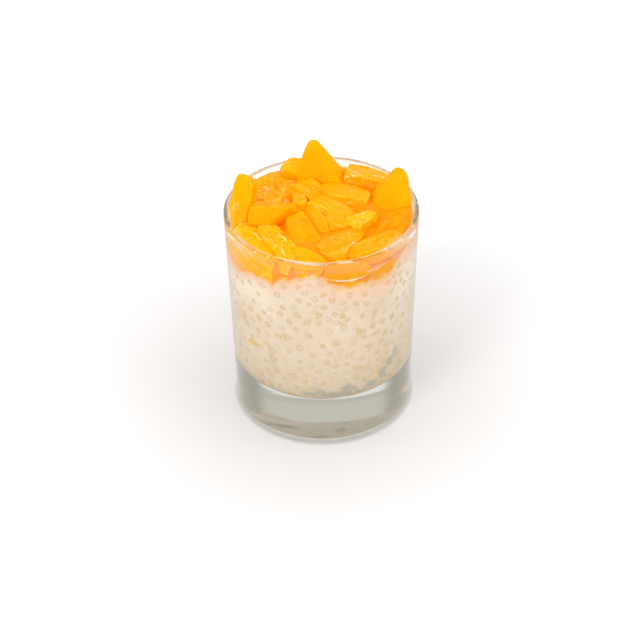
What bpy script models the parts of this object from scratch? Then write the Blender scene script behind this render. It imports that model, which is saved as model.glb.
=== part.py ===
"""Tapioca pudding in a tumbler, heaped with pieces of peach.

The glass stands on its foot with its axis on +Z, and the origin is the middle of the foot's
underside. The pudding fills the bowl up to an uneven level, with the pearls that lie against the
glass standing out of its side. The peaches lie on top as separate pieces, heaped to the rim and
a little above it. Lengths are in metres.
"""

import math
import random

import bmesh
import bpy
import numpy as np
from mathutils import Matrix, Vector

MM = 0.001

# The tumbler
GLASS_HEIGHT = 96.0 * MM
RIM_RADIUS = 41.0 * MM
FOOT_RADIUS = 38.4 * MM
WALL_AT_RIM = 2.2 * MM
WALL_AT_FLOOR = 2.6 * MM
HEEL_RADIUS = 3.0 * MM
FLOOR_HEIGHT = 20.0 * MM
FLOOR_CORNER = 8.0 * MM
TURNS = 72

# The pudding and its pearls
PUDDING_LEVEL = 83.0 * MM
PUDDING_INSET = 1.2 * MM
PEARL_RADIUS = 1.4 * MM
PEARL_PITCH = 8.6 * MM
PEARL_SEED = 7

# Pieces that touch keep this much between them
GAP = 0.3 * MM

# How far the pudding's edge climbs or sinks along the glass: angle from the front (degrees, to
# the right), rise (mm) and half-width (degrees)
EDGE_SWELLS = (
    (-66, -4.5, 10),
    (-6, 6.5, 8),
    (20, -2.5, 12),
    (43, -5.0, 9),
    (62, 4.0, 12),
    (105, -3.0, 20),
    (150, 2.5, 16),
    (-160, -2.0, 22),
    (-110, 2.5, 18),
)

# Each piece of peach: its middle (mm), its size along, across and through (mm), where its long
# side points (heading: 0 is right, 90 is back; climb: up), its roll about that line, and its
# form. Earlier rows keep their form, and later ones are trimmed where they press into them.
PEACHES = (
    ("peach_right_crescent", (29.5, -8.5, 89.0), (27, 12, 12), 60, 2, -22, dict(crown=1.6, tip=0.3, tail=0.5)),
    ("peach_right_sail", (28.8, 9.5, 96.5), (24, 19, 7), 46, 56, 4, dict(tip=0.85, tail=0.3, crown=1.0)),
    ("peach_back_sail", (-1.0, 24.5, 99.5), (26, 22, 8), 114, 58, 0, dict(tip=0.85, ridge=0.9, ridge_at=-0.4)),
    ("peach_back_wedge", (-4.0, 11.5, 93.5), (15, 10, 9), -46, -8, -8, dict(tip=0.5)),
    ("peach_left_slab", (-33.5, 1.5, 97.0), (27, 10, 7), 74, 50, -12, dict(tip=0.1, ridge=0.5, ridge_at=0.5)),
    ("peach_textured_cube", (18.0, -9.5, 92.5), (12, 10, 10), 38, -4, -8, dict()),
    ("peach_centre_wedge", (-1.0, -8.0, 94.0), (18, 10, 7), -62, -12, -6, dict(tip=0.5, tail=0.5, ridge=1.0)),
    ("peach_front_strip", (-18.0, -21.0, 89.5), (25, 9, 11), -62, -4, -8, dict(tip=0.25)),
    ("peach_upright_block", (-7.0, -12.0, 91.0), (20, 13, 13), -66, -12, -14, dict(ridge=0.5, ridge_at=0.3)),
    ("peach_front_lens", (-6.5, -28.5, 90.5), (15, 9, 9), -28, -4, -6, dict(tip=0.4, tail=0.5, ridge=0.6)),
    ("peach_front_slab", (8.0, -21.5, 90.0), (19, 13, 11), 52, 4, -8, dict(crown=1.0, tip=0.2)),
    ("peach_wall_wedge", (26.0, -25.5, 82.5), (14, 10, 8), 40, -62, 0, dict(tip=0.7)),
    ("peach_front_right_block", (22.0, -23.0, 89.5), (23, 11, 11), 30, 2, -10, dict(crown=1.5)),
    ("peach_middle_disc", (10.5, 12.5, 91.5), (23, 18, 10), -6, -4, -12, dict(crown=1.5, tip=0.4, tail=0.3)),
    ("peach_centre_slice", (5.0, 0.5, 92.0), (19, 14, 10), -36, -6, -10, dict(crown=1.0, tip=0.3)),
    ("peach_middle_block", (9.0, -10.0, 91.5), (14, 13, 10), -58, -4, -4, dict()),
    ("peach_back_block", (20.5, 25.5, 91.5), (27, 18, 13), -14, -6, -22, dict(ridge=0.4, ridge_at=0.2)),
    ("peach_left_face", (-21.5, -2.0, 92.0), (22, 15, 13), -4, 2, -28, dict(crown=1.0)),
    ("peach_left_chip", (-11.0, 6.5, 93.0), (13, 8, 10), 86, -6, -4, dict()),
    ("peach_left_disc", (-19.5, 22.5, 87.0), (29, 26, 8), 150, 0, 0, dict(crown=-0.8, tip=0.15, tail=0.15)),
    ("peach_back_lump", (-10.5, 31.0, 95.5), (15, 12, 8), 165, 6, 0, dict(crown=1.5, tip=0.4, tail=0.4)),
    ("peach_back_slice", (5.5, 31.0, 89.0), (18, 11, 9), 8, 0, 0, dict(tip=0.2, tail=0.2)),
    ("peach_left_wall_block", (-28.5, -17.5, 87.0), (30, 13, 13), -52, -2, 4, dict(crown=1.5, tip=0.3)),
    ("peach_wall_chip", (-4.5, -34.0, 89.0), (8, 6, 9), 0, 0, 0, dict(tip=0.3)),
    ("peach_low_strip", (14.6, -32.9, 84.0), (20, 4.5, 4.5), 22, 0, 0, dict(tip=0.3, tail=0.3)),
    ("peach_wall_block", (9.5, -33.0, 88.0), (16, 9, 9), 16, 0, 0, dict(crown=1.0)),
)


def glass_inner_radius(z):
    """Inner radius of the straight part of the glass wall at height z."""
    outer = FOOT_RADIUS + (RIM_RADIUS - FOOT_RADIUS) * z / GLASS_HEIGHT
    along = (z - FLOOR_HEIGHT) / (GLASS_HEIGHT - FLOOR_HEIGHT)
    return outer - WALL_AT_FLOOR - (WALL_AT_RIM - WALL_AT_FLOOR) * along


def front_angle(x, y):
    """Angle round the glass in degrees: 0 at the front (-Y), growing to the right (+X)."""
    return np.degrees(np.arctan2(x, -y))


def pudding_top(x, y):
    """Height of the pudding's top at a point: swells along the glass that flatten inwards."""
    angle = front_angle(x, y)
    rise = np.zeros_like(angle)
    for middle, height, width in EDGE_SWELLS:
        apart = (angle - middle + 180.0) % 360.0 - 180.0
        rise = rise + height * MM * np.exp(-((apart / width) ** 2))
    near_wall = (np.hypot(x, y) / glass_inner_radius(PUDDING_LEVEL)) ** 8
    return PUDDING_LEVEL + rise * near_wall


def arc(centre, radius, start, end, steps):
    """Points (r, z) of an arc from start to end, in degrees, both ends included."""
    angles = np.radians(np.linspace(start, end, steps + 1))
    return [(centre[0] + radius * math.cos(a), centre[1] + radius * math.sin(a)) for a in angles]


def material(name, colour, roughness, alpha=1.0):
    """A Principled material with a colour, a roughness and an opacity."""
    made = bpy.data.materials.new(name)
    made.use_nodes = True
    shader = made.node_tree.nodes["Principled BSDF"]
    shader.inputs["Base Color"].default_value = (*colour, 1.0)
    shader.inputs["Roughness"].default_value = roughness
    shader.inputs["Metallic"].default_value = 0.0
    shader.inputs["Alpha"].default_value = alpha
    return made


def solid(name, vertices, faces, finish):
    """An object with one closed mesh, its faces turned outwards and shaded smooth."""
    mesh = bpy.data.meshes.new(name)
    mesh.from_pydata([tuple(v) for v in vertices], [], faces)
    made = bpy.data.objects.new(name, mesh)
    bpy.context.scene.collection.objects.link(made)
    work = bmesh.new()
    work.from_mesh(mesh)
    bmesh.ops.recalc_face_normals(work, faces=work.faces)
    work.to_mesh(mesh)
    work.free()
    mesh.materials.append(finish)
    mesh.shade_smooth()
    mesh.set_sharp_from_angle(angle=math.radians(35))
    return made


def ringed_solid(name, rings, bottom, top, finish):
    """A closed solid from rings of TURNS points each, with a point at either end."""
    count = len(rings[0])
    vertices = [bottom] + [tuple(p) for ring in rings for p in ring] + [top]
    faces = []
    for i in range(count):
        j = (i + 1) % count
        faces.append((0, 1 + j, 1 + i))
        for k in range(len(rings) - 1):
            low = 1 + k * count
            faces.append((low + i, low + j, low + count + j, low + count + i))
        last = 1 + (len(rings) - 1) * count
        faces.append((last + i, last + j, len(vertices) - 1))
    return solid(name, vertices, faces, finish)


def turned_ring(radius, height):
    """A level ring of points, the first one at the front of the glass."""
    angles = np.linspace(0.0, 2.0 * math.pi, TURNS, endpoint=False)
    return np.stack([radius * np.sin(angles), -radius * np.cos(angles), np.full(TURNS, height)], axis=1)


def build_glass(finish):
    """The tumbler: a thick base, a wall that leans out a little and a fire-rounded rim."""
    lean = math.degrees(math.atan2(RIM_RADIUS - FOOT_RADIUS, GLASS_HEIGHT))
    heel = arc((FOOT_RADIUS - HEEL_RADIUS, HEEL_RADIUS), HEEL_RADIUS, -90, -lean, 4)
    lip_radius = WALL_AT_RIM / 2.0
    lip = arc((RIM_RADIUS - lip_radius, GLASS_HEIGHT - lip_radius), lip_radius, -lean, 180 - lean, 5)
    corner_z = FLOOR_HEIGHT + FLOOR_CORNER
    corner = arc((glass_inner_radius(corner_z) - FLOOR_CORNER, corner_z), FLOOR_CORNER, 0, -90, 5)
    rings = [turned_ring(r, z) for r, z in heel + lip + corner]
    return ringed_solid("glass", rings, (0.0, 0.0, 0.0), (0.0, 0.0, FLOOR_HEIGHT), finish)


def build_pudding_core(finish):
    """The pudding without its pearls, just inside the glass, up to its uneven top."""
    corner_z = FLOOR_HEIGHT + FLOOR_CORNER
    reach = glass_inner_radius(corner_z) - PUDDING_INSET
    radius = FLOOR_CORNER - PUDDING_INSET
    corner = arc((reach - radius, corner_z), radius, -90, 0, 5)
    rings = [turned_ring(r, z) for r, z in corner]
    for share in (0.35, 0.65, 0.9):
        z = corner_z + (PUDDING_LEVEL - 5 * MM - corner_z) * share
        rings.append(turned_ring(glass_inner_radius(z) - PUDDING_INSET, z))
    edge = turned_ring(glass_inner_radius(PUDDING_LEVEL) - PUDDING_INSET, PUDDING_LEVEL)
    for inset in (1.0, 0.93, 0.8, 0.55, 0.25):
        ring = edge.copy()
        ring[:, :2] *= inset
        ring[:, 2] = pudding_top(ring[:, 0], ring[:, 1])
        rings.append(ring)
    bottom = (0.0, 0.0, FLOOR_HEIGHT + PUDDING_INSET)
    top = (0.0, 0.0, PUDDING_LEVEL)
    return ringed_solid("tapioca_pudding", rings, bottom, top, finish)


def bowl_reach(z, clear):
    """Radius of a point in the bowl at height z that is clear of the wall and the floor's corner."""
    below = FLOOR_HEIGHT + FLOOR_CORNER - z
    if below <= 0.0:
        return glass_inner_radius(z) - clear
    corner_middle = glass_inner_radius(FLOOR_HEIGHT + FLOOR_CORNER) - FLOOR_CORNER
    return corner_middle + math.sqrt((FLOOR_CORNER - clear) ** 2 - below**2)


def pearl_places():
    """Where pearls lie against the glass: a loose lattice with each one moved a little."""
    draw = random.Random(PEARL_SEED)
    places = []
    low = FLOOR_HEIGHT + FLOOR_CORNER * 0.7
    rows = int((PUDDING_LEVEL - 6 * MM - low) / PEARL_PITCH) + 1
    for row in range(rows):
        z = low + row * PEARL_PITCH
        count = int(2.0 * math.pi * glass_inner_radius(z) / PEARL_PITCH)
        for k in range(count):
            angle = 2.0 * math.pi * (k + 0.5 * (row % 2) + draw.uniform(-0.25, 0.25)) / count
            height = z + draw.uniform(-0.25, 0.25) * PEARL_PITCH
            stand = bowl_reach(height, GAP + PEARL_RADIUS)
            places.append(Vector((stand * math.sin(angle), -stand * math.cos(angle), height)))
    return places


def build_pudding(finish):
    """The pudding core with the outermost pearls fused on by one union."""
    core = build_pudding_core(finish)
    pearls = bpy.data.collections.new("pearls")
    bpy.context.scene.collection.children.link(pearls)
    for number, place in enumerate(pearl_places()):
        work = bmesh.new()
        bmesh.ops.create_icosphere(work, subdivisions=1, radius=PEARL_RADIUS)
        work.transform(Matrix.Translation(place) @ Matrix.Rotation(number, 4, Vector((1, 2, 3))))
        mesh = bpy.data.meshes.new(f"pearl_{number}")
        work.to_mesh(mesh)
        work.free()
        pearls.objects.link(bpy.data.objects.new(f"pearl_{number}", mesh))
    union = core.modifiers.new("pearls", "BOOLEAN")
    union.operation = "UNION"
    union.operand_type = "COLLECTION"
    union.collection = pearls
    union.solver = "EXACT"
    bpy.context.view_layer.update()
    fused = bpy.data.meshes.new_from_object(core.evaluated_get(bpy.context.evaluated_depsgraph_get()))
    core.modifiers.clear()
    core.data = fused
    for pearl in list(pearls.objects):
        bpy.data.objects.remove(pearl)
    bpy.data.collections.remove(pearls)
    return core


def peach_section(share, ridge, ridge_at, crown):
    """Section of a piece of peach across its length, as closed (across, through) pairs from -1 to 1.

    The top is flat, crowned or drops from a ridge to both sides; the underside bellies out.
    """
    tops = []
    for s in (-0.9, 0.5 * ridge_at - 0.45, ridge_at, 0.5 * ridge_at + 0.45, 0.9):
        fall = abs(s - ridge_at) / (1.0 + ridge_at if s < ridge_at else 1.0 - ridge_at)
        tops.append((s * share, 1.0 - ridge * fall + crown * (1.0 - s * s)))
    side = 0.35 - 0.5 * ridge
    return tops + [(share, side), (0.88 * share, -1.0), (0.0, -1.15), (-0.88 * share, -1.0), (-share, side)]


def peach_mesh(size, tip=0.0, tail=0.0, ridge=0.0, ridge_at=0.0, crown=0.0):
    """Points and faces of one piece about its middle: sections set along its length.

    tip and tail narrow the two ends, ridge and crown shape the top.
    """
    length, width, depth = (0.5 * v * MM for v in size)
    vertices = []
    stations = ((-1.0, 0.8), (-0.88, 1.0), (-0.4, 1.0), (0.1, 1.0), (0.55, 1.0), (0.88, 0.97), (1.0, 0.72))
    for t, full in stations:
        narrow = 1.0 - tip * max(0.0, (t + 0.3) / 1.3) ** 1.4 - tail * max(0.0, (-t - 0.1) / 0.9) ** 2
        for across, through in peach_section(full * narrow, ridge, ridge_at, crown / size[2] * 2.0):
            vertices.append((t * length, across * width, through * depth * (0.4 + 0.6 * full * narrow)))
    count = len(vertices) // len(stations)
    faces = [tuple(range(count)), tuple(range(len(vertices) - count, len(vertices)))]
    for k in range(len(stations) - 1):
        for i in range(count):
            j = (i + 1) % count
            low = k * count
            faces.append((low + i, low + j, low + count + j, low + count + i))
    return vertices, faces


def peach_turn(heading, climb, roll):
    """Rotation that points +X along the heading and climb, after a roll about that line."""
    turn = Matrix.Rotation(math.radians(heading), 4, "Z")
    return turn @ Matrix.Rotation(-math.radians(climb), 4, "Y") @ Matrix.Rotation(math.radians(roll), 4, "X")


def trim(work, point, normal):
    """Keep the part of a closed mesh that lies on the normal's side of a plane, and close it."""
    cut = bmesh.ops.bisect_plane(
        work,
        geom=work.verts[:] + work.edges[:] + work.faces[:],
        dist=1e-7,
        plane_co=point,
        plane_no=normal,
        clear_inner=True,
    )
    edges = [g for g in cut["geom_cut"] if isinstance(g, bmesh.types.BMEdge) and g.is_boundary]
    if edges:
        bmesh.ops.contextual_create(work, geom=edges)


def trial_directions(count=400):
    """Unit vectors spread evenly over a sphere by the golden angle."""
    k = np.arange(count) + 0.5
    z = 1.0 - 2.0 * k / count
    turn = math.pi * (1.0 + math.sqrt(5.0)) * k
    level = np.sqrt(1.0 - z * z)
    return np.stack([level * np.cos(turn), level * np.sin(turn), z], axis=1)


def points_of(work):
    """The corner points of a mesh as an array."""
    return np.array([v.co[:] for v in work.verts])


def trim_from_neighbour(work, kept, directions):
    """Cut a piece flat where it presses into a kept one, along the shallowest way out."""
    reach = (directions @ kept.T).max(axis=1) + GAP
    depth = reach - (directions @ points_of(work).T).min(axis=1)
    best = int(np.argmin(depth))
    if depth[best] > 0.0:
        trim(work, Vector(directions[best] * reach[best]), Vector(directions[best]))


def trim_to_glass(work):
    """Cut a piece along the inside of the wall, by planes that touch it side by side."""
    points = points_of(work)
    middle = points.mean(axis=0)
    heading = math.degrees(math.atan2(middle[1], middle[0]))
    radius = glass_inner_radius(FLOOR_HEIGHT + 60 * MM) - GAP
    slope = (glass_inner_radius(GLASS_HEIGHT) - glass_inner_radius(FLOOR_HEIGHT)) / (GLASS_HEIGHT - FLOOR_HEIGHT)
    for step in range(-5, 6):
        angle = math.radians(heading + 9 * step)
        out = Vector((math.cos(angle), math.sin(angle), -slope)).normalized()
        at = Vector((radius * math.cos(angle), radius * math.sin(angle), FLOOR_HEIGHT + 60 * MM))
        if max((Vector(p) - at).dot(out) for p in points) > 0.0:
            trim(work, at, -out)


def trim_to_pudding(work):
    """Cut a piece level where it would sink into the pudding's top."""
    points = points_of(work)
    between = (points[:, None, :] + points[None, :, :]).reshape(-1, 3) / 2.0
    level = float(pudding_top(between[:, 0], between[:, 1]).max()) + GAP
    if points[:, 2].min() < level:
        trim(work, Vector((0.0, 0.0, level)), Vector((0.0, 0.0, 1.0)))


def build_peaches(finish):
    """All pieces of peach, each trimmed to the glass, the pudding and the pieces before it."""
    directions = trial_directions()
    kept = []
    for name, middle, size, heading, climb, roll, form in PEACHES:
        vertices, faces = peach_mesh(size, **form)
        made = solid(name, vertices, faces, finish)
        work = bmesh.new()
        work.from_mesh(made.data)
        work.transform(Matrix.Translation(Vector(middle) * MM) @ peach_turn(heading, climb, roll))
        trim_to_glass(work)
        trim_to_pudding(work)
        for other in kept:
            trim_from_neighbour(work, other, directions)
        kept.append(points_of(work))
        bmesh.ops.triangulate(work, faces=work.faces)
        bmesh.ops.recalc_face_normals(work, faces=work.faces)
        work.to_mesh(made.data)
        work.free()
        made.data.shade_smooth()
        made.data.set_sharp_from_angle(angle=math.radians(35))


for old in list(bpy.data.objects):
    bpy.data.objects.remove(old, do_unlink=True)

build_glass(material("clear_glass", (0.85, 0.88, 0.86), 0.02, alpha=0.3))
build_pudding(material("tapioca_cream", (0.86, 0.72, 0.55), 0.35))
build_peaches(material("peach_flesh", (0.98, 0.42, 0.01), 0.25))

for made in bpy.data.objects:
    corners = [made.matrix_world @ v.co for v in made.data.vertices]
    made.data.calc_loop_triangles()
    low = min(c.z for c in corners) / MM
    high = max(c.z for c in corners) / MM
    print(f"{made.name}: {len(made.data.loop_triangles)} triangles, {low:.1f} to {high:.1f} mm up")
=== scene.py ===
# %% [markdown]
# # Tapioca pudding in a tumbler, heaped with peach
#
# This notebook dresses a finished solid model: a glass tumbler filled with tapioca pudding and
# topped with cut pieces of peach. The solids say where everything is. Each cell below adds one
# surface or one finish over them: clear glass, set cream with soft pearls in it, juice, and fruit.
# Everything is in metres, with the middle of the glass's foot at the origin.

# %% The frame
import math

import bpy
import numpy as np
from mathutils import Matrix, Vector


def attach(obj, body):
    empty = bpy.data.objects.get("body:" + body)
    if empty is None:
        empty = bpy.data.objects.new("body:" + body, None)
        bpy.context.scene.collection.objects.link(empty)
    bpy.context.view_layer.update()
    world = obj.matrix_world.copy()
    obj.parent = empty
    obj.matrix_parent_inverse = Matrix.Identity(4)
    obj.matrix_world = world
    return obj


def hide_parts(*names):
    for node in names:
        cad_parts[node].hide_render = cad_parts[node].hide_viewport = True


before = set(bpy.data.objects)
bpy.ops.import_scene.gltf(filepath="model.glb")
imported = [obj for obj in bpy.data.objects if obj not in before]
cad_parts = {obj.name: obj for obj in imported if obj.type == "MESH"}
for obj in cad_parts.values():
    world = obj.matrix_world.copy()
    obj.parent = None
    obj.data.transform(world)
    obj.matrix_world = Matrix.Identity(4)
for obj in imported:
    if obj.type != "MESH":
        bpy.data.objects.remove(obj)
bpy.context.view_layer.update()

MM = 0.001

# %% [markdown]
# ## The camera
#
# A long lens well back from a small dessert keeps the sides of the glass nearly parallel. The
# camera looks down at it by 37 degrees, so that the heap of fruit and the wall both show. It could
# be aimed with a Track To constraint, but a matrix built from three directions says the same thing
# in numbers that stay put.

# %% Camera
CAMERA_CLIMB = math.radians(37.2)
CAMERA_ROLL = math.radians(-0.9)
CAMERA_REACH = 0.852
CAMERA_AIM = Vector((-0.00123, 0.0, 0.03757))
SENSOR_WIDTH = 36.0
FOCAL_LENGTH = 109.8


def place_camera():
    """Put the camera back from its aim along the climb, with its axes as the rows of a turn."""
    back = Vector((0.0, -math.cos(CAMERA_CLIMB), math.sin(CAMERA_CLIMB)))
    up = Vector((0.0, math.sin(CAMERA_CLIMB), math.cos(CAMERA_CLIMB)))
    turn = Matrix((Vector((1.0, 0.0, 0.0)), up, back)).transposed() @ Matrix.Rotation(CAMERA_ROLL, 3, "Z")
    data = bpy.data.cameras.new("camera")
    data.sensor_width = SENSOR_WIDTH
    data.lens = FOCAL_LENGTH
    data.clip_start = 0.01
    made = bpy.data.objects.new("camera", data)
    bpy.context.scene.collection.objects.link(made)
    made.matrix_world = Matrix.Translation(CAMERA_AIM + back * CAMERA_REACH) @ turn.to_4x4()
    return made


bpy.context.scene.camera = place_camera()
print("lens", round(bpy.context.scene.camera.data.lens, 1), "mm")

# %% [markdown]
# ## From rows of points to a piece
#
# Nearly everything here is a stack of closed rings: the turned glass, the pudding, and the fruit.
# So one helper takes an array of rings, joins each to the next with quads, and closes both ends
# with a fan round a single point. The rings run counter-clockwise seen from the end they climb to,
# which makes every face point outwards without any repair.

# %% Rings to mesh
def ring_faces(rows, columns):
    """Faces of a stack of rings: quads between neighbours, and fans to points 0 and last."""
    index = 1 + np.arange(rows * columns).reshape(rows, columns)
    low, high = index[:-1], index[1:]
    quads = np.stack([low, np.roll(low, -1, 1), np.roll(high, -1, 1), high], axis=-1).reshape(-1, 4)
    first, last = index[0], index[-1]
    under = np.stack([np.zeros(columns, int), np.roll(first, -1), first], axis=-1)
    over = np.stack([np.full(columns, rows * columns + 1), last, np.roll(last, -1)], axis=-1)
    return quads, np.concatenate([under, over])


def ring_points(rings):
    """The rings' points in one list, with the middle of the end rings before and after it."""
    start, end = rings[0].mean(axis=0), rings[-1].mean(axis=0)
    return np.concatenate([start[None], rings.reshape(-1, rings.shape[-1]), end[None]])


def make_piece(name, points, quads, triangles, marks=None):
    """A mesh object from arrays. marks is {attribute name: one number or vector for each point}."""
    mesh = bpy.data.meshes.new(name)
    mesh.vertices.add(len(points))
    mesh.vertices.foreach_set("co", points.astype(np.float32).ravel())
    corners = np.concatenate([quads.ravel(), triangles.ravel()]).astype(np.int32)
    starts = np.concatenate([np.arange(len(quads)) * 4, len(quads) * 4 + np.arange(len(triangles)) * 3])
    mesh.loops.add(len(corners))
    mesh.loops.foreach_set("vertex_index", corners)
    mesh.polygons.add(len(starts))
    mesh.polygons.foreach_set("loop_start", starts.astype(np.int32))
    mesh.update(calc_edges=True)
    mesh.validate()
    mesh.shade_smooth()
    for mark, values in (marks or {}).items():
        kind, field = ("FLOAT_VECTOR", "vector") if values.ndim == 2 else ("FLOAT", "value")
        layer = mesh.attributes.new(mark, kind, "POINT")
        layer.data.foreach_set(field, values.astype(np.float32).ravel())
    made = bpy.data.objects.new(name, mesh)
    bpy.context.scene.collection.objects.link(made)
    print(f"{name}: {len(quads) * 2 + len(triangles)} triangles")
    return made


def dress(piece, finish, slot, *nodes):
    """Give a piece its finish, let it ride on the part, and hide the solids it stands for."""
    piece.data.materials.append(finish)
    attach(piece, "root")
    if nodes:
        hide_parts(*nodes)
    return piece


# %% [markdown]
# ## Smooth random values
#
# Food is never regular, so shapes need a little wander. A box of random numbers, blended between
# its corners, gives values that change smoothly from place to place. The same box and the same
# seed always give the same pudding.

# %% Noise
RANDOM_BOX = np.random.default_rng(11).uniform(-1.0, 1.0, (32, 32, 32))


def wander(points, size, seed=0):
    """Random values from -1 to 1: corners of cells of this size, blended by 3t^2 - 2t^3 on each axis."""
    place = points / size + 5.37 * seed
    cell = np.floor(place).astype(int)
    t = place - cell
    t = t * t * (3.0 - 2.0 * t)
    total = np.zeros(points.shape[:-1])
    for corner in np.ndindex(2, 2, 2):
        weight = np.prod(np.where(corner, t, 1.0 - t), axis=-1)
        at = (cell + corner) % 32
        total += weight * RANDOM_BOX[at[..., 0], at[..., 1], at[..., 2]]
    return total


def ease(low, high, value):
    """0 below low, 1 above high, and 3t^2 - 2t^3 of the share t of the way between them."""
    t = np.clip((value - low) / (high - low), 0.0, 1.0)
    return t * t * (3.0 - 2.0 * t)


# %% [markdown]
# ## The tumbler
#
# Pressed glass has a thick base, a wall that leans out a little, and a rim rounded in a flame. It
# is one profile turned round an axis. The Screw modifier would turn it too, but with the profile
# as an array the inner wall is a number that the pudding and the fruit can use as well. The base
# stays solid glass: it bends the light from behind it, which draws the pale and dark bands there.

# %% Tumbler shape
GLASS_HEIGHT = 96.0 * MM
RIM_RADIUS = 41.0 * MM
FOOT_RADIUS = 38.4 * MM
WALL_AT_RIM = 2.2 * MM
WALL_AT_FLOOR = 2.6 * MM
HEEL_RADIUS = 3.0 * MM
FLOOR_HEIGHT = 20.0 * MM
FLOOR_CORNER = 12.0 * MM
OUTER_LIP = 0.42 * MM
INNER_LIP = 0.3 * MM
UNDER_RISE = 0.6 * MM
UNDER_MIDDLE = (4.0 * MM, 9.0 * MM)
UNDER_RADIUS = 23.0 * MM
UNDER_WAVES = 0.2 * MM
FOOT_RING = 33.0 * MM
TURNS = 256


def wall_inside(z):
    """Inner radius at height z: the outer wall's straight lean less a wall that thins upwards.

    Below the floor corner's top it follows the corner's quarter circle.
    """
    straight = np.maximum(z, FLOOR_HEIGHT + FLOOR_CORNER)
    outer = FOOT_RADIUS + (RIM_RADIUS - FOOT_RADIUS) * straight / GLASS_HEIGHT
    up = (straight - FLOOR_HEIGHT) / (GLASS_HEIGHT - FLOOR_HEIGHT)
    drop = np.clip(straight - z, 0.0, FLOOR_CORNER)
    bend = FLOOR_CORNER - np.sqrt(FLOOR_CORNER ** 2 - drop ** 2)
    return outer - WALL_AT_FLOOR - (WALL_AT_RIM - WALL_AT_FLOOR) * up - bend


def arc(centre, radius, start, end, steps):
    """Points (r, z) on a circle from angle start to angle end, in degrees."""
    turn = np.radians(np.linspace(start, end, steps + 1))
    return np.stack([centre[0] + radius * np.cos(turn), centre[1] + radius * np.sin(turn)], axis=1)


def between(a, b, steps):
    """Points (r, z) on the straight line from a to b, without either end."""
    t = np.linspace(0.0, 1.0, steps + 2)[1:-1, None]
    return np.asarray(a) * (1.0 - t) + np.asarray(b) * t


def about_axis(r, angle, z):
    """Points round Z at distance r and angle a from the front to the right: (r sin a, -r cos a, z)."""
    return np.stack([r * np.sin(angle), -r * np.cos(angle), z + 0.0 * angle], axis=-1)


def turned(profile, columns):
    """A profile of (r, z) turned round Z, as one ring of points for each of its points."""
    angle = np.linspace(0.0, 2.0 * math.pi, columns, endpoint=False)
    return about_axis(profile[:, 0, None], angle, profile[:, 1, None])


def tumbler_profile():
    """Foot, heel, outer wall, lip, inner wall, floor corner and floor, as one run of (r, z)."""
    lean = math.degrees(math.atan2(RIM_RADIUS - FOOT_RADIUS, GLASS_HEIGHT))
    corner_z = FLOOR_HEIGHT + FLOOR_CORNER
    heel = arc((FOOT_RADIUS - HEEL_RADIUS, HEEL_RADIUS), HEEL_RADIUS, -90, -lean, 14)
    outer_lip = arc((RIM_RADIUS - OUTER_LIP, GLASS_HEIGHT - OUTER_LIP), OUTER_LIP, -lean, 84, 12)
    lip_radius = RIM_RADIUS - WALL_AT_RIM + INNER_LIP
    inner_lip = arc((lip_radius, GLASS_HEIGHT - INNER_LIP), INNER_LIP, 96, 180 - lean, 8)
    rim = np.concatenate([outer_lip, inner_lip])
    corner = arc((wall_inside(corner_z) - FLOOR_CORNER, corner_z), FLOOR_CORNER, 0, -90, 24)
    foot = between((0.0, 0.0), heel[0], 22)
    floor = between(corner[-1], (0.0, FLOOR_HEIGHT), 8)
    outside, inside = between(heel[-1], rim[0], 24), between(rim[-1], corner[0], 20)
    return np.concatenate([foot, heel, outside, rim, inside, corner, floor])


def uneven_foot(rings):
    """The underside as it leaves the mould: a shallow hollow a little off the middle, and low waves.

    The hollow rises by (1 - s^2)^2, s being the distance from its middle in its own radii. The waves
    fade out at the foot ring.
    """
    off = np.hypot(rings[..., 0] - UNDER_MIDDLE[0], rings[..., 1] - UNDER_MIDDLE[1]) / UNDER_RADIUS
    out = np.hypot(rings[..., 0], rings[..., 1]) / FOOT_RING
    rise = UNDER_RISE * np.clip(1.0 - off ** 2, 0.0, None) ** 2
    rise += UNDER_WAVES * np.clip(1.0 - out ** 2, 0.0, None) * (1.0 + wander(rings, 12.0 * MM, 90))
    rings[..., 2] += np.where(rings[..., 2] < 1e-9, rise, 0.0)
    return rings


tumbler_rings = uneven_foot(turned(tumbler_profile(), TURNS))
tumbler = make_piece("tumbler", ring_points(tumbler_rings), *ring_faces(*tumbler_rings.shape[:2]))

# %% [markdown]
# ## Building node materials
#
# A material is a tree of nodes, and writing one out link by link hides what it does. A few small
# helpers keep it readable: put adds a node and fills its sockets with numbers or with other
# nodes' outputs, reach stretches a value to a new range, blend mixes two colours by a mask, and
# paint lays several colours over one another. All but put give an output, so that a call can be
# written inside another.

# %% Node helpers
def fill(socket, value):
    """Link an output into a socket, or set its value. A colour is three numbers."""
    if isinstance(value, bpy.types.NodeSocket):
        socket.id_data.links.new(value, socket)
    else:
        socket.default_value = (*value, 1.0) if socket.type == "RGBA" else value


def put(tree, kind, sockets=None, **settings):
    """Add a node. sockets is {name or number: value, or an output to link}; settings are its options."""
    node = tree.nodes.new("ShaderNode" + kind)
    for key, value in settings.items():
        setattr(node, key, value)
    for key, value in (sockets or {}).items():
        fill(node.inputs[key], value)
    return node


def blend(tree, share, a, b):
    """The colour between a and b by a share from 0 to 1."""
    return put(tree, "Mix", {0: share, 6: a, 7: b}, data_type="RGBA").outputs[2]


def times(tree, a, b):
    """One value times another."""
    return put(tree, "Math", {0: a, 1: b}, operation="MULTIPLY").outputs[0]


def larger(tree, a, b):
    """The larger of two values."""
    return put(tree, "Math", {0: a, 1: b}, operation="MAXIMUM").outputs[0]


def bumps(tree, height, strength, distance):
    """The normal of a surface whose relief is this value, at most distance metres deep."""
    return put(tree, "Bump", {"Height": height, "Strength": strength, "Distance": distance}).outputs[0]


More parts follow.
